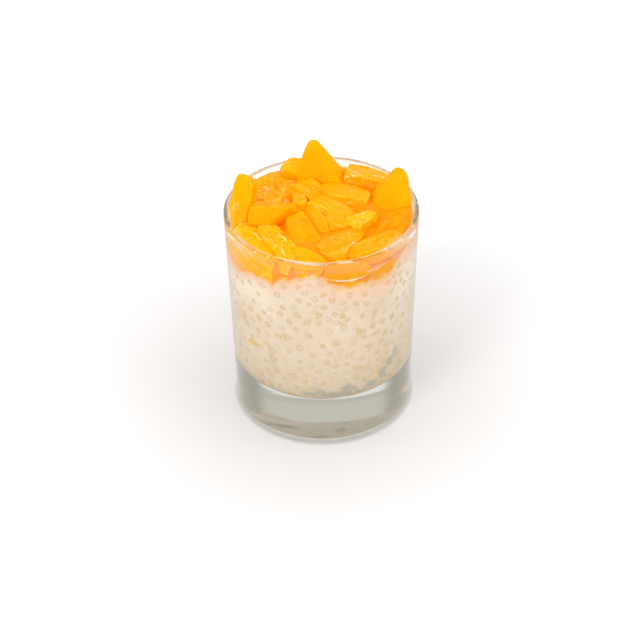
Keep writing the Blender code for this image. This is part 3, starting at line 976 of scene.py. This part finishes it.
def press_on_wall(points):
    """Points near the wall are eased out to just inside the glass, and slip round and along it.

    The slips are smooth random amounts, so that no edge runs straight. Where the fruit is dry, it
    stops a little short of the glass instead.
    """
    out = np.hypot(points[..., 0], points[..., 1])
    wall = wall_inside(points[..., 2])
    ragged = 0.9 * MM * wander(points, 4.5 * MM, 71)
    near = ease(wall - PRESS_BEGINS, wall - PRESS_ENDS, out + ragged)
    sides = near_angle(np.abs(wall_place(points)[0]), 78.0, 20.0)
    dry = ease(DRY_BEGINS, DRY_ENDS, points[..., 2] + ragged - DRY_LIFT * sides)
    goal = (out + near * (wall + INTO_WALL + PRESSED_DEEPER - out)) * (1.0 - dry)
    goal += np.minimum(out, wall - DRY_GAP) * dry
    points[..., :2] *= (goal / out)[..., None]
    slip = near * SLIP_ROUND * wander(points, 4.0 * MM, 73) / goal
    x, y = points[..., 0].copy(), points[..., 1].copy()
    points[..., 0] = x * np.cos(slip) - y * np.sin(slip)
    points[..., 1] = x * np.sin(slip) + y * np.cos(slip)
    points[..., 2] += near * SLIP_ALONG * wander(points, 3.0 * MM, 74)
    return points


print("fruit pieces", len([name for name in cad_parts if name.startswith("peach_")]))

# %% [markdown]
# No two pieces are cut alike. Some show a smooth face, some the fibres of the flesh, and some the
# rough hollow where the stone lay. The table says, for each, how torn its surface is, which way
# the torn side faces, and whether the flesh is paler or deeper than the rest.

# %% Peach table
UP = (0, 0, 1)
# name: (torn amount, direction of the torn side, tone from -1 deep to 1 pale, cuts, growth in mm,
# and for a rounder piece the power that rounds its edges)
PEACH_LOOKS = {
    "peach_right_crescent": (0.1, UP, -0.9, 0, 0.9),
    "peach_right_sail": (0.05, (0, -1, 0), 0.1, 0, 0.2),
    "peach_back_sail": (0.05, (0, -1, 0), 0.15, 0, 0.2),
    "peach_back_wedge": (0.5, UP, -0.1, 2, 1.9),
    "peach_left_slab": (0.6, (-0.6, -0.7, -0.3), 0.1, 0, 0.1),
    "peach_textured_cube": (1.0, UP, 0.9, 1, 0.9),
    "peach_centre_wedge": (0.45, (0.5, 0, 1.5), 0.0, 2, 1.9),
    "peach_front_strip": (1.0, UP, 0.35, 1, 1.5),
    "peach_upright_block": (0.12, UP, -0.3, 2, 1.7),
    "peach_front_lens": (0.3, UP, 0.15, 2, 1.9),
    "peach_front_slab": (0.55, (-0.3, -0.3, 1), -0.3, 3, 2.0),
    "peach_wall_wedge": (0.2, UP, -0.2, 2, 1.9),
    "peach_front_right_block": (0.8, UP, -0.25, 3, 2.0),
    "peach_middle_disc": (0.6, (0.2, -0.3, 1), 0.05, 3, 2.3),
    "peach_centre_slice": (0.55, UP, 0.0, 3, 2.3),
    "peach_middle_block": (0.4, UP, -0.1, 3, 2.3),
    "peach_back_block": (0.9, (0, -0.2, 1), 0.15, 3, 1.5),
    "peach_left_face": (0.12, UP, -0.1, 2, 2.0),
    "peach_left_chip": (0.6, UP, 0.1, 2, 1.9),
    "peach_left_disc": (1.0, (0, -0.2, 1), 0.15, 1, 1.7),
    "peach_back_lump": (0.6, (-0.5, 0, 1.2), 0.5, 3, 0.0, 14.0),
    "peach_back_slice": (0.3, UP, 0.0, 2, 1.9),
    "peach_left_wall_block": (0.95, (-0.6, 0.2, 1), 0.3, 3, 2.0),
    "peach_wall_chip": (0.2, UP, 0.1, 1, 1.9),
    "peach_low_strip": (0.3, UP, -0.1, 1, 1.9),
    "peach_wall_block": (0.3, UP, -0.25, 1, 1.9),
}
# The piece that shows the hollow where the stone lay, its depth, and the radii of its floor and rim
STONE_DISC = "peach_left_disc"
HOLLOW_DEPTH = 2.4 * MM
HOLLOW_FLOOR, HOLLOW_RIM = 2.0 * MM, 10.0 * MM


def point_values(values):
    """One value for each point of a piece, from one for each point of its rings."""
    return ring_points(values[..., None])[:, 0]


def make_peach(number, name, torn, facing, tone, cuts, grow, sharp=46.0):
    """One piece: the rounded solid, a slow unevenness, and fibres and pits where it is torn."""
    has_hollow = name == STONE_DISC
    middle, points, way, axes, edge = peach_skin(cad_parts[name], number, sharp, cuts, grow)
    grain = (points - middle) @ axes
    side = np.array(facing, float) / np.linalg.norm(facing)
    toward = way @ side + (0.5 if has_hollow else 0.0)
    mask = torn * ease(0.1, 0.75, toward + 0.35 * wander(points, 4.0 * MM, number))
    slow = 0.34 * wander(points, 6.0 * MM, number + 40) + 0.16 * wander(points, 2.8 * MM, number + 60)
    fibre = wander(grain * np.array([0.22, 1.0, 1.0]), 0.95 * MM, number + 80)
    pits = wander(points, 1.5 * MM, number + 120)
    deeper = 2.4 if has_hollow else 1.0
    relief = slow + mask * (0.14 * fibre + 0.36 * deeper * pits) + 0.03 * fibre
    points = points + way * (relief * MM)[..., None]
    if has_hollow:
        across = np.linalg.norm(grain * np.array([1.0, 1.0, 0.0]), axis=-1)
        hollow = 1.0 - ease(HOLLOW_FLOOR, HOLLOW_RIM, across)
        points[..., 2] -= HOLLOW_DEPTH * ease(0.3, 0.9, way[..., 2]) * hollow
    points = press_on_wall(points)
    # Painted highlight: points near the edges are marked to be painted paler there.
    painted_edge_light = edge * (0.3 + 0.7 * torn) * (0.6 + 0.6 * wander(points, 3.0 * MM, number + 160))
    marks = {
        "torn": point_values(mask),
        "edge": point_values(painted_edge_light),
        "grain": ring_points(grain),
        "milk_and_painted_light": point_values(milk_and_painted_light_at(points)),
        "tone": np.full(points[..., 0].size + 2, tone),
    }
    return make_piece(name + "_flesh", ring_points(points), *ring_faces(*points.shape[:2]), marks)


# %% [markdown]
# ## Peach flesh
#
# Tinned peach is wet and lets light in: it glows deep orange where it is thick and turns paler
# where fibres scatter the light. Subsurface scattering gives the glow. Fibres are noise drawn out
# along each piece's own length, read from the grain stored on its points, so they turn with the
# piece. A thin coat stands for the syrup on it, heavier in some places than in others.

# %% Peach finish
def peach_finish():
    """Orange flesh by tone and depth, paler and rougher where torn, with painted highlights along its edges
    and on its torn threads, under an uneven coat of syrup.
    """
    made, tree, shader = new_finish("peach_flesh_finish")
    torn, tone, grain = mark(tree, "torn"), mark(tree, "tone"), mark(tree, "grain", "Vector")
    drawn = put(tree, "Mapping", {"Vector": grain, "Scale": (0.18, 1.0, 1.0)}).outputs[0]
    fibre = noise(tree, 1500.0, where=drawn)
    pulp = noise(tree, 640.0, 4.0, 0.6, 0.4)
    slow = noise(tree, 170.0, 2.0, 0.5)
    specks = noise(tree, 1100.0, 3.0, 0.6)
    threads = noise(tree, 620.0, 3.0, 0.55, 0.5, drawn)
    pale = times(tree, torn, reach(tree, pulp, 0.47, 0.66))
    # The torn flesh's pale threads, with painted highlights on them.
    pale_threads_and_highlights = times(tree, torn, reach(tree, threads, 0.58, 0.68))
    flesh = paint(
        tree, (1.0, 0.255, 0.0),
        (tone, -1.0, 1.0, (1.0, 0.505, 0.0)),
        (slow, 0.3, 0.7, (1.0, 0.44, 0.0), 0.45),
        (fibre, 0.5, 0.75, (1.0, 0.52, 0.0), 0.4),
        # Painted highlight: paler along the edges.
        (mark(tree, "edge"), 0.25, 0.9, (1.0, 0.61, 0.06), 0.85),
        (pale, 0.0, 1.0, (1.0, 0.57, 0.05), 0.8),
        (pale_threads_and_highlights, 0.0, 1.0, (1.0, 0.75, 0.28), 0.8),
    )
    # The flesh against the wall takes the cream veil and the painted light at the back and sides.
    flesh = veiled_and_back_lit(tree, reach(tree, mark(tree, "milk_and_painted_light"), 0.0, 1.0, 0.0, 0.9), flesh)
    settle(shader, Base_Color=flesh, Roughness=reach(tree, specks, 0.35, 0.7, 0.25, 0.45))
    rises = times(tree, pulp, reach(tree, torn, 0.0, 1.0, 0.15, 1.0))
    rises = put(tree, "Math", {0: fibre, 1: 0.2, 2: rises}, operation="MULTIPLY_ADD").outputs[0]
    settle(shader, Normal=bumps(tree, rises, 0.6, 0.0009))
    let_light_in(shader, 0.5, (1.0, 0.5, 0.2), 2.5 * MM)
    wet = times(tree, reach(tree, torn, 0.0, 1.0, 0.03, 1.0), reach(tree, slow, 0.48, 0.6))
    settle(shader, Specular_IOR_Level=0.05, Coat_Weight=wet, Coat_Roughness=0.05, Coat_IOR=1.45)
    return made


PEACH_FLESH = peach_finish()
for number, (name, look) in enumerate(PEACH_LOOKS.items()):
    dress(make_peach(number, name, *look), PEACH_FLESH, "peach_flesh", name)

# %% [markdown]
# ## A fleck of peach
#
# One torn thread of fruit has slipped down inside the glass and lies flat against it, low on the
# left. It is a squashed ball with a ragged outline, laid along the wall.

# %% Fleck
# Its edge value paints a highlight along the fleck's rim.
FLECK_LOOKS = {"torn": 0.3, "tone": 0.2, "edge": 0.6, "milk_and_painted_light": 0.45}


def fleck_rings(angle, z, wide, high):
    """A ball of two angles, flattened on the wall: its outline wanders by the noise at each point."""
    along, up, depth = np.moveaxis(ball_rings(14, 24), -1, 0)
    shape = 1.0 + 0.4 * wander(np.stack([along, up, 0.3 * depth], axis=-1), 0.55, 50)
    around = math.radians(angle) - along * shape * wide / wall_inside(z)
    height = z + (up * high - 0.35 * along * wide * 0.5) * shape
    return about_axis(wall_inside(height) + INTO_WALL + 0.16 * MM * (depth + 0.35), around, height)


rings = fleck_rings(-50.0, 45.0 * MM, 3.1 * MM, 1.35 * MM)
points = ring_points(rings)
marks = {key: np.full(len(points), value) for key, value in FLECK_LOOKS.items()}
marks["grain"] = points
fleck = make_piece("peach_fleck", points, *ring_faces(*rings.shape[:2]), marks)
dress(fleck, PEACH_FLESH, "peach_flesh")

# %% [markdown]
# ## Streaks and drops
#
# Where the spoon ran round the glass, thin streaks of creamy juice dried on it, and small drops sit
# on the rim and on the fruit. A streak is a flat ribbon carried along a path of angles and heights
# on the inner wall. A drop is a squashed ball, and all drops are one joined mesh, as the pearls are.

# %% Streaks
# Each path: angle in degrees and height in mm, from one end to the other
STREAK_PATHS = (
    ((-1.0, 89.6), (3.0, 88.3), (7.5, 87.3), (13.0, 86.5), (18.5, 86.3), (24.0, 86.6), (28.6, 87.2),
     (32.0, 87.9)),
    ((26.0, 88.9), (30.0, 88.6), (33.5, 89.0), (36.5, 90.2)),
    ((-57.0, 91.4), (-50.0, 89.0), (-44.0, 87.8), (-40.0, 86.4)),
    ((-23.5, 86.4), (-20.0, 88.2), (-16.0, 89.6), (-13.5, 91.6)),
    ((45.0, 91.5), (49.0, 88.4), (54.0, 86.4)),
)
STREAK_HALF_WIDTHS = (0.44, 0.2, 0.12, 0.16, 0.16)
STREAK_DEPTH = 0.1 * MM


def streak_rings(path, half, rows=72, columns=8):
    """A flat oval carried along a path on the wall; it narrows at both ends as sin(pi t)^0.6."""
    path = np.array(path)
    t = np.linspace(0.0, 1.0, rows)
    knots = np.linspace(0.0, 1.0, len(path))
    angle, z = np.interp(t, knots, path[:, 0]), np.interp(t, knots, path[:, 1])
    soft = np.hanning(13)[1:-1]
    spare = len(soft) // 2
    angle, z = (np.convolve(np.pad(line, spare, "edge"), soft / soft.sum(), "valid") for line in (angle, z))
    z = z * MM
    along = np.stack([np.gradient(np.radians(angle)) * WALL_UP_HIGH, np.gradient(z)], axis=1)
    along = along / np.linalg.norm(along, axis=1, keepdims=True)
    seat = np.stack([angle * 0.3, z * 1000.0, 0.0 * z], axis=1)
    width = half * (0.12 + np.sin(math.pi * np.clip(t, 0.01, 0.99)) ** 0.6)
    width = width * (0.3 + ease(-0.35, 0.6, wander(seat, 1.6, 77)))
    turn = np.linspace(0.0, 2.0 * math.pi, columns, endpoint=False)
    across, depth = width[:, None] * np.cos(turn), STREAK_DEPTH * np.sin(turn) + 0.0 * width[:, None]
    around = np.radians(angle)[:, None] + across * -along[:, 1, None] / WALL_UP_HIGH
    height = z[:, None] + across * along[:, 0, None]
    return about_axis(wall_inside(height) + INTO_WALL + 0.2 * MM + depth, around, height)


streaks = np.stack([streak_rings(path, half * MM) for path, half in zip(STREAK_PATHS, STREAK_HALF_WIDTHS)])
points, quads, fans, _ = join_beads(streaks)
streaks = make_piece("juice_streaks", points, quads, fans)

# %% Drops
# Drops on the rim: angle in degrees, radius in mm
RIM_DROPS = np.array([
    (-41.7, 0.38), (-32.8, 0.4), (2.0, 0.2), (40.5, 0.32), (46.5, 0.24), (54.0, 0.55), (56.0, 0.35),
    (95.0, 0.4), (160.0, 0.35), (-130.0, 0.4),
])


def drop_balls(middles, radii, rows=7, columns=12):
    """Balls of two angles at the middles, a little flatter than round."""
    ball = ball_rings(rows, columns)[..., [1, 2, 0]]
    return middles[:, None, None, :] + radii[:, None, None, None] * ball * np.array([1.0, 1.0, 0.75])


# Drops on the fruit: x, y, z and radius in mm
FRUIT_DROPS = np.array([
    (-12.0, 24.6, 93.7, 0.42), (12.9, -26.1, 96.5, 0.5), (-8.2, -11.4, 97.1, 0.26), (0.1, -1.4, 98.7, 0.26),
])

radians, size = np.radians(RIM_DROPS[:, 0]), RIM_DROPS[:, 1] * MM
out = RIM_RADIUS - 0.45 * MM + 0.2 * size
middles = about_axis(out, radians, GLASS_HEIGHT - 0.15 * MM)
middles, size = np.vstack([middles, FRUIT_DROPS[:, :3] * MM]), np.append(size, FRUIT_DROPS[:, 3] * MM)
points, quads, fans, _ = join_beads(drop_balls(middles, size))
drops = make_piece("juice_drops", points, quads, fans)


# %% Smear on the rim
def smear_rings(start, end, rows=220, columns=8):
    """A thin oval carried along the inner lip from one angle to another, wider where the noise is high."""
    t = np.linspace(0.0, 1.0, rows)
    angle = np.radians(start + (end - start) * t)
    seat = np.stack([np.sin(angle), np.cos(angle), 0.0 * t], axis=1) * 40.0
    wide = 0.05 + 0.30 * ease(-0.35, 0.7, wander(seat, 6.5, 81)) + 0.16 * ease(0.75, 0.9, t)
    wide = wide * np.sin(math.pi * np.clip(t, 0.002, 0.998)) ** 0.4 * MM
    turn = np.linspace(0.0, 2.0 * math.pi, columns, endpoint=False)
    r = RIM_RADIUS - WALL_AT_RIM + 0.3 * MM - wide[:, None] * np.cos(turn)
    z = GLASS_HEIGHT - 0.02 * MM + 0.35 * wide[:, None] * np.sin(turn)
    return about_axis(r, angle[:, None], z)


rings = smear_rings(-44.0, 57.0)
smear = make_piece("rim_smear", ring_points(rings), *ring_faces(*rings.shape[:2]))


# %% Streak and drop finish
def milk_finish():
    """Thin creamy juice: pink cream clouded by noise, wet and a little see-deep."""
    made, tree, shader = new_finish("creamy_juice_finish")
    cloud = noise(tree, 520.0, 3.0)
    creamy = blend(tree, reach(tree, cloud, 0.35, 0.65), (1.0, 0.78, 0.58), (1.0, 0.62, 0.34))
    settle(shader, Base_Color=creamy, Roughness=reach(tree, cloud, 0.3, 0.7, 0.1, 0.25))
    settle(shader, Normal=bumps(tree, cloud, 0.2, 0.0002))
    let_light_in(shader, 0.3, (1.0, 0.7, 0.4), 1 * MM)
    settle(shader, Specular_IOR_Level=0.4)
    return made


CREAMY_JUICE = milk_finish()
for piece in (streaks, drops, smear):
    dress(piece, CREAMY_JUICE, "tapioca_cream")

# %% [markdown]
# ## Floor and light
#
# The glass stands on a plain pale floor under soft light from the left and above. The floor is a
# hair below the foot, because real glass never touches a table all over, and that film of air is
# what makes the base mirror the pudding above it. The sky is white to the camera and softer to the
# fruit, so the background stays clean while the pieces keep their shading.

# %% Floor
DISC_COLUMNS = 64
FLOOR_DROP = 0.25 * MM
SHADE_CARD_DROP = 0.1 * MM


def floor_finish():
    """A pale matt floor with the faintest unevenness, greyer near the glass, with a painted contact shadow
    in a thin ring round the foot.
    """
    made, tree, shader = new_finish("pale_floor_finish")
    cloud = noise(tree, 9.0, 3.0)
    out_from = put(tree, "VectorMath", {0: place(tree)}, operation="LENGTH").outputs["Value"]
    pale = blend(tree, cloud, (0.963, 0.963, 0.971), (0.973, 0.973, 0.98))
    pale = blend(tree, reach(tree, out_from, 0.05, 0.17), (0.80, 0.79, 0.80), pale)
    # Painted contact shadow: a thin darker ring round the foot.
    painted_contact_shadow = reach(tree, out_from, 0.0378, 0.0405, 1.0, 0.0)
    painted_contact_shadow = times(tree, reach(tree, out_from, 0.0335, 0.0365), painted_contact_shadow)
    pale = blend(tree, painted_contact_shadow, pale, (0.54, 0.53, 0.51))
    settle(shader, Base_Color=pale, Roughness=reach(tree, cloud, 0.3, 0.7, 0.5, 0.65))
    settle(shader, Specular_IOR_Level=0.2)
    return made


def flat_disc(radii, drop):
    """Rings of these radii a little below the foot, and their faces, turned to look up."""
    rings = turned(np.array([(r, -drop) for r in radii]), DISC_COLUMNS)
    quads, fans = ring_faces(len(radii), DISC_COLUMNS)
    return rings, quads[:, ::-1], fans[:DISC_COLUMNS, ::-1]


rings, quads, fans = flat_disc((0.02, 0.2, 1.0, 4.0), FLOOR_DROP)
floor = make_piece("floor", ring_points(rings), np.roll(quads, 1, 1), fans)
floor.data.materials.append(floor_finish())
floor.visible_glossy = False


# %% Painted shade card
def lay_painted_shade_card():
    """A card under the foot that only the glass sees: painted shade over most of it, and a painted glow
    round its edge for light that reaches the table through the base.
    """
    made, tree, shader = new_finish("painted_shade_card_finish")
    grain = noise(tree, 130.0, 2.0)
    out_from = put(tree, "VectorMath", {0: place(tree)}, operation="LENGTH").outputs["Value"]
    # Painted shade under the foot.
    dark = blend(tree, reach(tree, grain, 0.4, 0.68), (0.27, 0.25, 0.21), (0.17, 0.14, 0.09))
    # Painted glow round the edge of the card.
    glow = blend(tree, reach(tree, out_from, 0.0325, 0.0345), (0.0, 0.0, 0.0), (0.66, 0.65, 0.62))
    settle(shader, Base_Color=dark, Roughness=1.0, Specular_IOR_Level=0.0)
    settle(shader, Emission_Color=glow, Emission_Strength=1.0)
    rings, quads, fans = flat_disc((0.010, 0.032, 0.035, 0.039), SHADE_CARD_DROP)
    card = make_piece("painted_shade_card", ring_points(rings), quads, fans)
    card.data.materials.append(made)
    card.visible_camera = card.visible_diffuse = card.visible_glossy = card.visible_shadow = False


lay_painted_shade_card()


# %% Light
LAMP_AIM = Vector((0.0, 0.0, 0.06))
# name: (place, power in watts, width, depth, whether wet fruit mirrors it)
LAMPS = {
    "key": ((-0.55, -0.68, 0.62), 3.0, 0.35, 0.35, False),
    "fill": ((0.72, -0.42, 0.4), 1.25, 0.4, 0.4, False),
    "top": ((0.2, 0.3, 0.9), 0.4, 0.5, 0.5, False),
    "strip": ((0.0, -0.02, 1.1), 1.4, 1.1, 0.05, True),
    "far_strip": ((0.0, 1.05, 0.42), 0.35, 1.0, 0.05, True),
}


def soft_lamp(name, where, power, wide, deep, glints):
    """A flat lamp aimed at the food. Only the ones that glint are mirrored in wet fruit."""
    data = bpy.data.lights.new(name, "AREA")
    data.shape = "RECTANGLE"
    data.energy, data.size, data.size_y = power, wide, deep
    made = bpy.data.objects.new(name, data)
    bpy.context.scene.collection.objects.link(made)
    made.location = where
    made.rotation_euler = (LAMP_AIM - Vector(where)).to_track_quat("-Z", "Y").to_euler()
    made.visible_transmission = False
    made.visible_glossy = glints
    return made


def studio_sky():
    """White for the camera, full for matt surfaces, greyer and graded by height for glass and gloss."""
    world = bpy.data.worlds.new("studio")
    bpy.context.scene.world = world
    world.use_nodes = True
    tree = world.node_tree
    tree.nodes.clear()
    path = put(tree, "LightPath").outputs
    axis = put(tree, "SeparateXYZ", {0: put(tree, "TexCoord").outputs["Generated"]}).outputs
    aside = put(tree, "Math", {0: axis[0]}, operation="ABSOLUTE").outputs[0]
    room = paint(
        tree, (0.30, 0.275, 0.215),
        (axis[2], 0.45, 0.495, (0.80, 0.795, 0.765)),
        (axis[2], 0.565, 0.59, (0.50, 0.485, 0.425)),
        (axis[2], 0.60, 0.68, (0.56, 0.54, 0.48)),
        (aside, 0.42, 0.6, (0.34, 0.325, 0.28)),
        (aside, 0.72, 0.85, (0.62, 0.60, 0.58)),
    )
    seen = put(tree, "Background", {"Color": room, "Strength": 1.0}).outputs[0]
    below = blend(tree, reach(tree, axis[1], -0.1, 0.6), (0.40, 0.39, 0.38), (0.68, 0.67, 0.66))
    below = blend(tree, reach(tree, axis[2], -0.9, -0.8), (1.9, 1.87, 1.82), below)
    below = blend(tree, reach(tree, axis[2], -0.1, 0.0), below, (0.12, 0.12, 0.11))
    gloss = put(tree, "Background", {"Color": below, "Strength": 1.0}).outputs[0]
    matt = put(tree, "Background", {"Color": (1.0, 0.99, 0.98), "Strength": 0.9}).outputs[0]
    white = put(tree, "Background", {"Color": (1.0, 1.0, 1.0), "Strength": 1.05}).outputs[0]
    sky = either(tree, path["Is Glossy Ray"], matt, gloss)
    sky = either(tree, path["Is Transmission Ray"], sky, seen)
    put(tree, "OutputWorld", {"Surface": either(tree, path["Is Camera Ray"], sky, white)})


studio_sky()
for name, lamp in LAMPS.items():
    soft_lamp(name, *lamp)
scene = bpy.context.scene
scene.cycles.max_bounces, scene.cycles.diffuse_bounces = 32, 8
scene.cycles.glossy_bounces, scene.cycles.transmission_bounces = 24, 16
scene.view_settings.view_transform = "Standard"
print("lamps", len(LAMPS))
